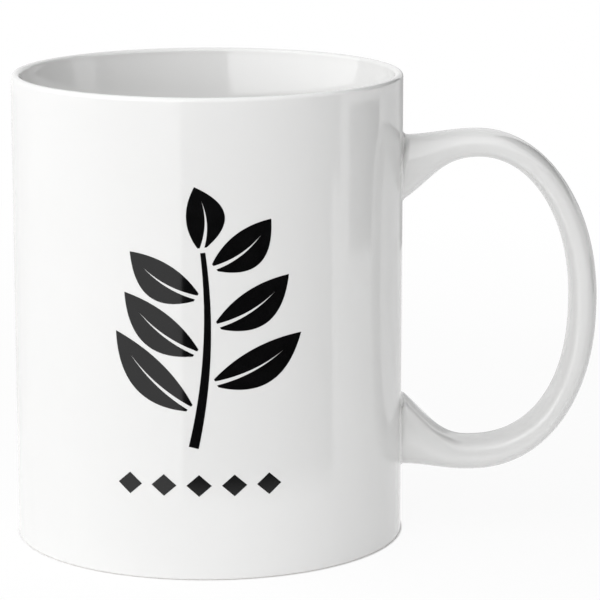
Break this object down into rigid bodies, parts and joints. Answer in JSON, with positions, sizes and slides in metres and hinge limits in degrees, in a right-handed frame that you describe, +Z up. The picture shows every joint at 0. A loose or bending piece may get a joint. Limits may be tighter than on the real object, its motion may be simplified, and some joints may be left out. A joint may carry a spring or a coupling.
{
  "type": "mug",
  "caption": "Straight-sided glazed ceramic mug with a D-shaped strap handle luted to its wall, a recessed foot and a black enamel leaf print, for hot drinks.",
  "frame": {"origin": "on the table under the mug, half-way across the cup and its handle", "axes": "+Z up along the cup's axis, +X out through the handle, -Y out through the print"},
  "size_m": [0.1204, 0.0803, 0.096],
  "materials": {
    "white_glaze": "gloss white glaze over stoneware",
    "black_enamel": "gloss black enamel fired on the glaze"
  },
  "bodies": {
    "root": {"cup_body": "white_glaze", "handle": "white_glaze", "upper_slip_joint": "white_glaze", "lower_slip_joint": "white_glaze", "print_stem": "black_enamel", "print_leaf_tip": "black_enamel", "print_leaf_1": "black_enamel", "print_leaf_2": "black_enamel", "print_leaf_3": "black_enamel", "print_leaf_4": "black_enamel", "print_leaf_5": "black_enamel", "print_leaf_6": "black_enamel", "print_lozenge_1": "black_enamel", "print_lozenge_2": "black_enamel", "print_lozenge_3": "black_enamel", "print_lozenge_4": "black_enamel", "print_lozenge_5": "black_enamel"}
  },
  "joints": []
}
